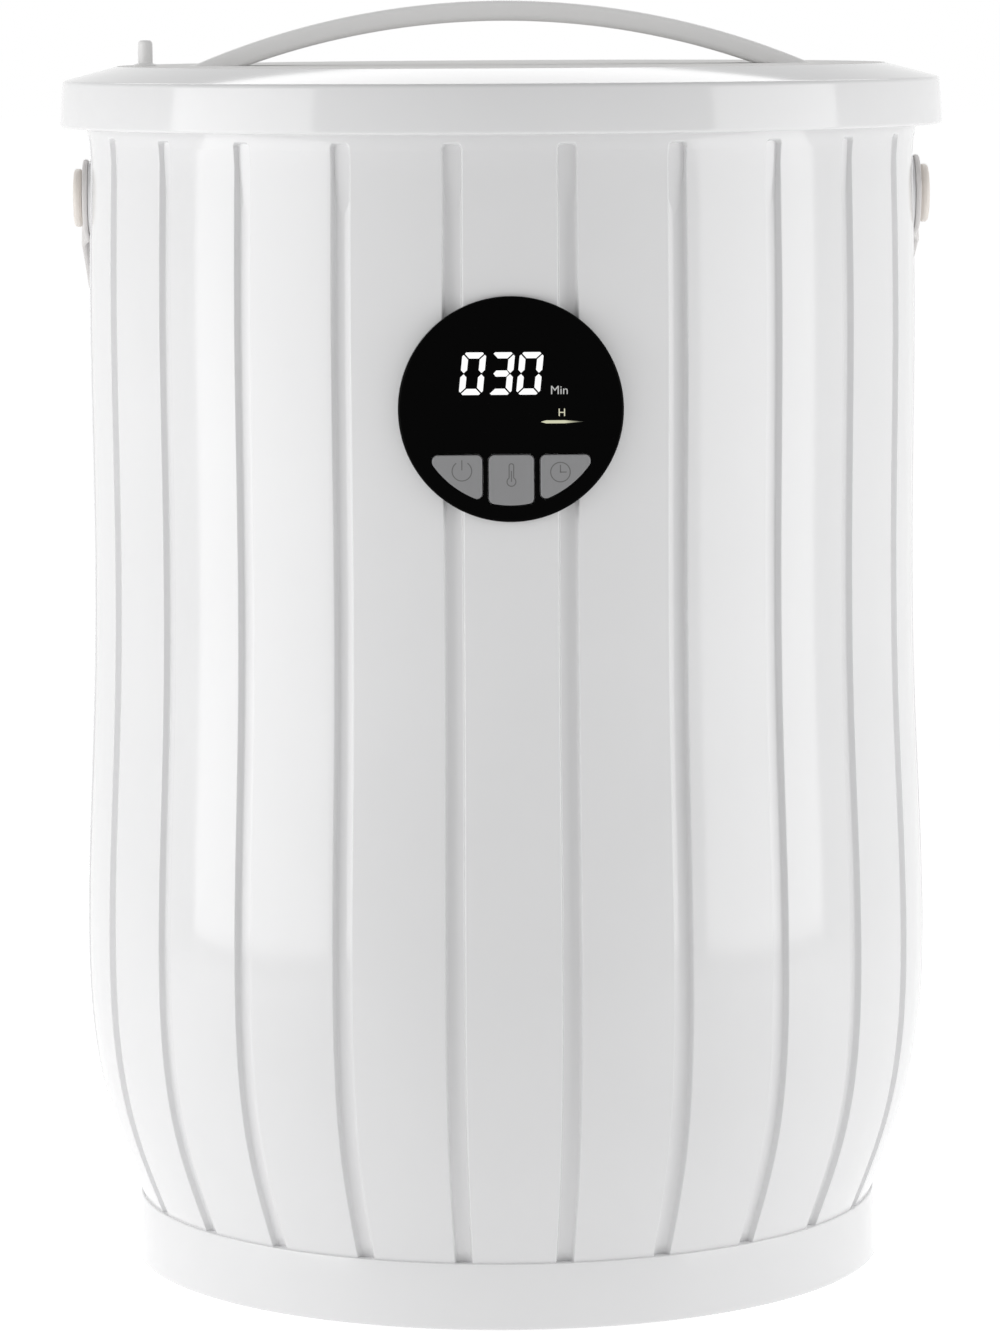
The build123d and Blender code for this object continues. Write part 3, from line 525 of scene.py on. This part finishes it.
def inner_liner():
    radius, wall, floor_z, corner, flange = WAIST_RADIUS - 17.5, 1.0, 70.0, 12.0, 7.0
    top = high("inner_liner").z
    corners = [
        (0, floor_z - wall, 0),
        (radius + wall, floor_z - wall, corner + wall),
        (radius + wall, top - wall, 0.1),
        (radius + wall + flange, top - wall, 0.2),
        (radius + wall + flange, top, 0.4),
        (radius, top, 0.8),
        (radius, floor_z, corner),
        (0, floor_z, 0),
    ]
    lathe_piece("chamber_liner", corners, FINISH["liner_metal"], "bucket",
                ["inner_liner"], 180)


# ---- Lid ----

def recessed(x, y, z, in_wall):
    """Draws a point of the lid in to the flat that the raised strap passes."""
    depth = RECESS_WALL if in_wall else 0
    if y <= -RECESS_FRONT - depth:
        return x, y, z
    flat = RECESS_FLAT - depth
    return max(-flat, min(flat, x)), y, z


def lid_angles():
    """Even steps, with a close pair at each end of the flats so that they end in a step."""
    front = math.asin(RECESS_FRONT / LID_RIM_RADIUS)
    near = 0.0004
    marks = [-front - near, -front + near, math.pi + front - near, math.pi + front + near]
    return sorted([a for a in full_turn(480)] + [m % (2 * math.pi) for m in marks])


def lid_cover():
    wall = 2.5
    plate_bottom = LID_TOP_Z - wall
    corners = [
        (0, LID_TOP_Z, 0),
        (LID_PLATEAU_RADIUS - 0.5, LID_TOP_Z, 0),
        (LID_PLATEAU_RADIUS, LID_TOP_Z, 0.4),
        (LID_RIM_RADIUS - 1.1, LID_TOP_Z - 5.0, 1.7),
        (LID_RIM_RADIUS, LID_RIM_Z, 1.1),
        (LID_RIM_RADIUS - wall, LID_RIM_Z, 0.9),
        (LID_RIM_RADIUS - 1.1 - wall, LID_TOP_Z - 8.0, 1.0),
        (LID_PLATEAU_RADIUS, plate_bottom, 0),
        (0, plate_bottom, 0),
    ]
    outline = rounded(corners)
    rim = min(range(len(outline)), key=lambda i: (outline[i][1], outline[i][0]))

    def shape(x, y, z, i):
        return recessed(x, y, z, i >= rim)

    points, faces = lathe(outline, lid_angles(), shape)
    lid = piece("lid_top", points, faces, FINISH["white_gloss"], "lid",
                ["lid_cover"], 30)
    lid.data.materials.append(LID_TOP_FINISH)
    edge = LID_PLATEAU_RADIUS * MM
    for face in lid.data.polygons:
        middle = face.center
        if middle.z > (LID_TOP_Z - 0.1) * MM and middle.xy.length < edge:
            face.material_index = 1


def lid_handle():
    """A flat arch whose ends run into the lid."""
    outer = (HANDLE_HALF_SPAN ** 2 + HANDLE_RISE ** 2) / (2 * HANDLE_RISE)
    middle = outer - HANDLE_THICKNESS / 2
    centre_z = LID_TOP_Z + HANDLE_RISE - outer
    half_turn = math.asin(HANDLE_HALF_SPAN / middle) + math.radians(0.6)
    section = rounded_bar(HANDLE_WIDTH, HANDLE_THICKNESS, 2.2, 6)
    rings = []
    for k in range(97):
        turn = half_turn * (2 * k / 96 - 1)
        ring = []
        for y, rise in section:
            x = (middle + rise) * math.sin(turn)
            z = centre_z + (middle + rise) * math.cos(turn)
            ring.append((x, y, max(z, LID_TOP_Z - 0.05)))
        rings.append(ring)
    points, faces = sweep(rings)
    # Painted light: the arch's white is lighter than its plastic.
    piece("lid_arch", points, faces, HANDLE_PALE_AND_PAINTED_LIGHT_FINISH, "lid",
          ["lid_handle"], 50)


def lid_peg():
    radius = 2.6
    top = high("lid_peg").z
    corners = [
        (0, LID_TOP_Z - 1.0, 0),
        (radius + 1.4, LID_TOP_Z - 1.0, 0),
        (radius + 1.4, LID_TOP_Z + 0.6, 0.5),
        (radius, LID_TOP_Z + 0.9, 0.4),
        (radius - 0.05, top, 1.4),
        (0, top, 0),
    ]
    # Painted light: the pin shares the arch's lightened white.
    lathe_piece("lid_pin", corners, HANDLE_PALE_AND_PAINTED_LIGHT_FINISH, "lid", ["lid_peg"], 48,
                [Matrix.Translation((PEG_X, 0, 0))])


# ---- Carry strap ----

STRAP_THICKNESS = 1.8
STRAP_END = 13.5            # half widths at the rivet, along the arm and at the bow
STRAP_ARM = 8.5
STRAP_BOW = 7.0
STRAP_NECK = 30.0
STRAP_ARM_LENGTH = 65.0
STRAP_HANG = math.radians(24.4)     # below level, where the bow rests on the shell's back
RIVET_HEAD = 3.4
EAR_GAP = 0.35              # between the rivet's head and the strap's end
PAD_GAP = 0.12              # between the strap's end and the pad behind it


def smooth(share):
    share = min(max(share, 0.0), 1.0)
    return share * share * (3 - 2 * share)


def strap_line(reach, ear, arm):
    """Middle line of half the strap, as (x, distance from the rivets), with the half width."""
    line = []
    for k in range(13):
        turn = math.pi / 2 * (1 - k / 12)
        line.append((ear, -STRAP_END * math.sin(turn), max(STRAP_END * math.cos(turn), 0.9)))
    for along in np.linspace(2, STRAP_ARM_LENGTH, 44):
        x = ear + (arm - ear) * smooth((along - 11) / 13)
        if along < STRAP_NECK:
            half = STRAP_END + (STRAP_ARM - STRAP_END) * smooth(along / STRAP_NECK) ** 0.8
        else:
            half = STRAP_ARM + (STRAP_BOW - STRAP_ARM) * (along - STRAP_NECK) / (reach - STRAP_NECK)
        line.append((x, along, half))
    bend = reach - STRAP_ARM_LENGTH
    for k in range(1, 33):
        turn = math.pi / 2 * k / 32
        x = arm - bend + bend * math.cos(turn)
        along = STRAP_ARM_LENGTH + bend * math.sin(turn)
        half = STRAP_ARM + (STRAP_BOW - STRAP_ARM) * (along - STRAP_NECK) / (reach - STRAP_NECK)
        line.append((x, along, half))
    return line


def carry_strap():
    node_high = high("carry_strap")
    arm = node_high.x - STRAP_THICKNESS / 2
    ear = high("strap_rivets").x - RIVET_HEAD - EAR_GAP - STRAP_THICKNESS / 2
    reach = (node_high.y / math.cos(STRAP_HANG) - STRAP_BOW * math.tan(STRAP_HANG)
             - STRAP_THICKNESS / 2)
    half = strap_line(reach, ear, arm)
    line = [(-x, along, width) for x, along, width in half] + [(x, along, width)
                                                               for x, along, width in half[::-1]]
    turn = Matrix.Rotation(-STRAP_HANG, 4, "X")
    rings = []
    for i, (x, along, width) in enumerate(line):
        before, after = line[max(i - 1, 0)], line[min(i + 1, len(line) - 1)]
        run = Vector((after[0] - before[0], after[1] - before[1])).normalized()
        ring = []
        for across, out in rounded_bar(width * 2, STRAP_THICKNESS, 0.7, 3):
            place = Vector((x - run.y * out, along + run.x * out, across))
            ring.append(tuple(turn @ place + Vector((0, 0, PIVOT_Z))))
        rings.append(ring)
    points, faces = sweep(rings)
    piece("strap_band", points, faces, FINISH["strap_white"], "strap",
          ["carry_strap"], 50)


def strap_rivets():
    """Two broad heads with a soft edge, each on a short waist over the strap's end."""
    radius = high("strap_rivets").z - PIVOT_Z
    out = high("strap_rivets").x
    depth = RIVET_HEAD
    corners = [
        (0, out - depth - 3.0, 0),
        (4.0, out - depth - 3.0, 0),
        (4.0, out - depth, 0),
        (radius - 0.7, out - depth, 0.2),
        (radius - 0.1, out - depth + 0.9, 0.5),
        (radius, out - 0.5, 1.3),
        (0, out, 0),
    ]
    places = [Matrix.Translation((0, 0, PIVOT_Z)) @ Matrix.Rotation(side * math.pi / 2, 4, "Y")
              for side in (-1, 1)]
    lathe_piece("strap_studs", corners, FINISH["rivet_cream"], "bucket",
                ["strap_rivets"], 72, places)


def strap_pads():
    """Flat round pads on the shell, behind the strap's ends."""
    face = high("strap_rivets").x - RIVET_HEAD - EAR_GAP - STRAP_THICKNESS - PAD_GAP
    corners = [
        (0, face - 2.0, 0),
        (STRAP_END - 0.6, face - 2.0, 0),
        (STRAP_END - 0.6, face, 0.3),
        (0, face, 0),
    ]
    places = [Matrix.Translation((0, 0, PIVOT_Z)) @ Matrix.Rotation(side * math.pi / 2, 4, "Y")
              for side in (-1, 1)]
    lathe_piece("strap_pads", corners, FINISH["white_gloss"], "bucket", (), 72,
                places)


# ---- Control panel ----

def panel_place(right, up, y):
    """A place on the panel, from its centre."""
    return (right, y, PANEL_Z + up)


def plates(name, outlines, front_y, depth, finish, body):
    """Flat plates standing on the panel, each an outline of (right, up) points."""
    points, faces = [], []
    for outline in outlines:
        area = sum(a[0] * b[1] - b[0] * a[1] for a, b in zip(outline, outline[1:] + outline[:1]))
        if area < 0:
            outline = outline[::-1]
        first, count = len(points), len(outline)
        points += [panel_place(*p, front_y) for p in outline]
        points += [panel_place(*p, front_y + depth) for p in outline]
        faces.append(tuple(range(first, first + count)))
        faces.append(tuple(range(first + 2 * count - 1, first + count - 1, -1)))
        for i in range(count):
            n = (i + 1) % count
            faces.append((first + n, first + i, first + count + i, first + count + n))
    return piece(name, points, faces, finish, body, sharp=20)


def band(line, width):
    """Outlines of short plates that make a band of that width along a line."""
    edges = []
    for i, here in enumerate(line):
        before, after = line[max(i - 1, 0)], line[min(i + 1, len(line) - 1)]
        run = (Vector(after) - Vector(before)).normalized()
        side = Vector((-run.y, run.x)) * width / 2
        edges.append((tuple(Vector(here) + side), tuple(Vector(here) - side)))
    return [[a for a, b in edges] + [b for a, b in reversed(edges)]]


def arc(x, y, radius, start, end, steps=40):
    """Points on a circle, the angles in degrees."""
    angles = [math.radians(start + (end - start) * k / steps) for k in range(steps + 1)]
    return [(x + radius * math.cos(a), y + radius * math.sin(a)) for a in angles]


DIGIT_WIDTH = 7.8
DIGIT_HEIGHT = 13.9
DIGIT_STROKE = 2.0
DIGIT_LEAN = 0.1
DIGIT_PITCH = 9.37
DIGIT_GAP = 0.35
DIGIT_CHAMFER = 1.25
SEGMENTS = {"0": "abcdef", "3": "abcdg"}


def segment(letter):
    """One of a digit's seven segments, a at the top and g in the middle."""
    w, h, t, k, c = DIGIT_WIDTH, DIGIT_HEIGHT, DIGIT_STROKE, DIGIT_GAP, DIGIT_CHAMFER
    middle = h / 2
    top = [(t + k, h - t), ((c + k) / 2, h - (c - k) / 2), (c, h),
           (w - c, h), (w - (c + k) / 2, h - (c - k) / 2), (w - t - k, h - t)]
    left = [(0, middle + (t + k) / 2), (0, h - c), ((c - k) / 2, h - (c + k) / 2),
            (t, h - t - k), (t, middle + (t + k) / 2), (t / 2, middle + k / 2)]
    bar = [(t / 2 + k, middle), (t + k / 2, middle + t / 2), (w - t - k / 2, middle + t / 2),
           (w - t / 2 - k, middle), (w - t - k / 2, middle - t / 2), (t + k / 2, middle - t / 2)]
    shapes = {
        "a": top,
        "f": left,
        "g": bar,
        "b": [(w - x, y) for x, y in left],
        "c": [(w - x, h - y) for x, y in left],
        "d": [(x, h - y) for x, y in top],
        "e": [(x, h - y) for x, y in left],
    }
    return shapes[letter]


def display_digits():
    left, bottom = -17.1, 4.9
    outlines = []
    for place, digit in enumerate("030"):
        for letter in SEGMENTS[digit]:
            outlines.append([(left + DIGIT_PITCH * place + x + DIGIT_LEAN * y, bottom + y)
                             for x, y in segment(letter)])
    plates("display_digits", outlines, PANEL_FRONT_Y - 0.03, 0.2, DIGIT_FINISH, "bucket")


def display_word(name, word, size, right, up, finish):
    """A short word in the display, from its left foot."""
    text = bpy.data.curves.new(name, "FONT")
    text.body = word
    text.size = size
    text.extrude = 0.1
    holder = bpy.data.objects.new(name, text)
    bpy.context.scene.collection.objects.link(holder)
    bpy.context.view_layer.update()
    mesh = bpy.data.meshes.new_from_object(holder.evaluated_get(
        bpy.context.evaluated_depsgraph_get()))
    bpy.data.objects.remove(holder)
    points = [panel_place(right + v.co.x, up + v.co.y, PANEL_FRONT_Y + 0.07 - v.co.z)
              for v in mesh.vertices]
    faces = [tuple(face.vertices) for face in mesh.polygons]
    bpy.data.meshes.remove(mesh)
    piece(name, points, faces, finish, "bucket", sharp=20)


def level_bar():
    """A thin bar that fades at both ends."""
    left, right, middle, half = 9.7, 23.5, -4.05, 0.5
    steps = 24
    upper = []
    for k in range(steps + 1):
        share = k / steps
        rise = half * min(1.0, 8 * share, 2.2 * (1 - share) + 0.05)
        upper.append((left + (right - left) * share, middle + rise))
    lower = [(x, 2 * middle - y) for x, y in reversed(upper)]
    made = glow("fading_yellow", (0.60, 0.60, 0.42), 1.0)
    nodes = made.node_tree.nodes
    place = nodes.new("ShaderNodeTexCoord")
    split = nodes.new("ShaderNodeSeparateXYZ")
    fade = nodes.new("ShaderNodeMapRange")
    fade.inputs["From Min"].default_value = (right - 1.0) * MM
    fade.inputs["From Max"].default_value = (left + 8.0) * MM
    fade.inputs["To Min"].default_value = 0.1
    fade.inputs["To Max"].default_value = 1.0
    link(made, place, "Object", split, "Vector")
    link(made, split, "X", fade, "Value")
    link(made, fade, "Result", nodes["Principled BSDF"], "Emission Strength")
    plates("level_bar", [upper + lower], PANEL_FRONT_Y - 0.03, 0.2, made, "bucket")


MARK_WIDTH = 0.34
MARK_RADIUS = 3.2


def key_marks():
    """Plain signs on the three keys: on and off, temperature, and time."""
    power_x, timer_x, side_y = -16.2, 16.05, -20.0
    power = band(arc(power_x, side_y, MARK_RADIUS, 125, 415), MARK_WIDTH)
    power += band([(power_x, side_y + 0.3), (power_x, side_y + 3.6)], MARK_WIDTH)
    timer = band(arc(timer_x, side_y - 0.5, MARK_RADIUS, 0, 180), MARK_WIDTH)
    timer += band(arc(timer_x, side_y - 0.5, MARK_RADIUS, 180, 360), MARK_WIDTH)
    timer += band([(timer_x, side_y + 1.9), (timer_x, side_y - 0.65)], MARK_WIDTH)
    timer += band([(timer_x - 0.17, side_y - 0.5), (timer_x + 2.0, side_y - 0.5)], MARK_WIDTH)
    stem, bulb, foot = 0.75, 1.45, -23.6
    open_angle = math.degrees(math.acos(stem / bulb))
    temperature = band(arc(0, foot, bulb, 180 - open_angle, 360 + open_angle), MARK_WIDTH)
    neck = foot + math.sqrt(bulb ** 2 - stem ** 2)
    temperature += band([(-stem, neck)] + arc(0, foot + 5.2, stem, 180, 0, 16) + [(stem, neck)],
                        MARK_WIDTH)
    temperature += band([(0, foot), (0, foot + 3.6)], MARK_WIDTH)
    for body, outlines in (("power_key", power), ("timer_key", timer),
                           ("temperature_key", temperature)):
        plates(body.replace("key", "mark"), outlines, KEY_FRONT_Y - 0.02, 0.2, MARK_FINISH, body)


# ---- Camera, floor and lights ----

CAMERA_DISTANCE = 1896.0    # level, from the bucket's axis
CAMERA_HEIGHT = 443.6
CAMERA_TURN = math.radians(-1.05)
CAMERA_TILT = math.radians(7.023)
CAMERA_PAN = math.radians(0.045)
CAMERA_ROLL = math.radians(-0.321)
FOCAL_PIXELS = 5361.0
FRAME_HEIGHT = 1333
SENSOR = 36.0
AMBIENT = 0.43
FLOOR_GLOW = 0.3            # to every ray, like a well lit white sweep
FLOOR_GLOW_SEEN = 0.34      # more to the camera and mirrors, so that it shows as white


def camera():
    data = bpy.data.cameras.new("camera")
    data.sensor_width = SENSOR
    data.lens = SENSOR * FOCAL_PIXELS / FRAME_HEIGHT
    data.clip_end = 50.0
    obj = bpy.data.objects.new("camera", data)
    bpy.context.scene.collection.objects.link(obj)
    place = Vector((math.sin(CAMERA_TURN), -math.cos(CAMERA_TURN), 0)) * CAMERA_DISTANCE
    place.z = CAMERA_HEIGHT
    heading = Matrix.Rotation(CAMERA_TURN + CAMERA_PAN, 4, "Z")
    tilt = Matrix.Rotation(math.pi / 2 - CAMERA_TILT, 4, "X")
    roll = Matrix.Rotation(CAMERA_ROLL, 4, "Z")
    obj.matrix_world = Matrix.Translation(place * MM) @ heading @ tilt @ roll
    bpy.context.scene.camera = obj


def softbox(name, azimuth, distance, width, bottom, top, power):
    """A soft lamp in metres, upright, at an azimuth in degrees to the right of the front."""
    turn = math.radians(azimuth)
    data = bpy.data.lights.new(name, "AREA")
    data.shape = "RECTANGLE"
    data.size = width
    data.size_y = top - bottom
    data.energy = power
    obj = bpy.data.objects.new(name, data)
    bpy.context.scene.collection.objects.link(obj)
    place = Vector((math.sin(turn) * distance, -math.cos(turn) * distance, (bottom + top) / 2))
    facing = Matrix.Rotation(turn, 4, "Z") @ Matrix.Rotation(math.pi / 2, 4, "X")
    obj.matrix_world = Matrix.Translation(place) @ facing
    return obj


def seen_plainly(tree):
    """1 for rays from the camera, a mirror or a glass, else 0."""
    path = tree.nodes.new("ShaderNodeLightPath")
    either = tree.nodes.new("ShaderNodeMath")
    either.operation = "MAXIMUM"
    any_of_three = tree.nodes.new("ShaderNodeMath")
    any_of_three.operation = "MAXIMUM"
    tree.links.new(path.outputs["Is Camera Ray"], either.inputs[0])
    tree.links.new(path.outputs["Is Glossy Ray"], either.inputs[1])
    tree.links.new(either.outputs[0], any_of_three.inputs[0])
    tree.links.new(path.outputs["Is Transmission Ray"], any_of_three.inputs[1])
    return any_of_three.outputs[0]


def world(ambient):
    made = bpy.data.worlds.new("studio")
    bpy.context.scene.world = made
    made.use_nodes = True
    tree = made.node_tree
    lit = tree.nodes["Background"]
    lit.inputs["Color"].default_value = (1, 1, 1, 1)
    lit.inputs["Strength"].default_value = ambient
    seen = tree.nodes.new("ShaderNodeBackground")
    seen.inputs["Color"].default_value = (1, 1, 1, 1)
    seen.inputs["Strength"].default_value = 1.0
    mix = tree.nodes.new("ShaderNodeMixShader")
    tree.links.new(seen_plainly(tree), mix.inputs["Fac"])
    tree.links.new(lit.outputs[0], mix.inputs[1])
    tree.links.new(seen.outputs[0], mix.inputs[2])
    tree.links.new(mix.outputs[0], tree.nodes["World Output"].inputs["Surface"])


def floor():
    """A wide pale floor. It glows a little, and more to the camera, so that it is white but for
    shadows."""
    half = 20.0
    mesh = bpy.data.meshes.new("floor")
    mesh.from_pydata([(-half, -half, 0), (half, -half, 0), (half, half, 0), (-half, half, 0)],
                     [], [(0, 1, 2, 3)])
    obj = bpy.data.objects.new("floor", mesh)
    bpy.context.scene.collection.objects.link(obj)
    made = material("floor_white", (0.86, 0.86, 0.86), 0.7)
    tree = made.node_tree
    shader = tree.nodes["Principled BSDF"]
    shader.inputs["Specular IOR Level"].default_value = 0.0
    shader.inputs["Emission Color"].default_value = (1, 1, 1, 1)
    scaled = tree.nodes.new("ShaderNodeMath")
    scaled.operation = "MULTIPLY_ADD"
    scaled.inputs[1].default_value = FLOOR_GLOW_SEEN
    scaled.inputs[2].default_value = FLOOR_GLOW
    tree.links.new(seen_plainly(tree), scaled.inputs[0])
    tree.links.new(scaled.outputs[0], shader.inputs["Emission Strength"])
    mesh.materials.append(made)


# ---- The whole scene ----

camera()
world(AMBIENT)
floor()
softbox("left_softbox", -66.5, 0.85, 0.64, 0.02, 0.6, 2.6)
softbox("right_softbox", 68.7, 0.85, 0.575, 0.02, 0.6, 2.1)
softbox("back_softbox", 180, 1.3, 1.6, 1.14, 1.6, 4.2)

outer_shell()
base_ring()
rubber_feet()
inner_liner()
lid_cover()
lid_handle()
lid_peg()
carry_strap()
strap_rivets()
strap_pads()
display_digits()
display_word("minute_word", "Min", 4.0, 12.8, 5.0, UNIT_FINISH)
display_word("heat_letter", "H", 3.6, 15.3, -2.2, LEVEL_FINISH)
level_bar()
key_marks()
dress_cad_nodes()

bpy.context.scene.view_settings.view_transform = "Standard"
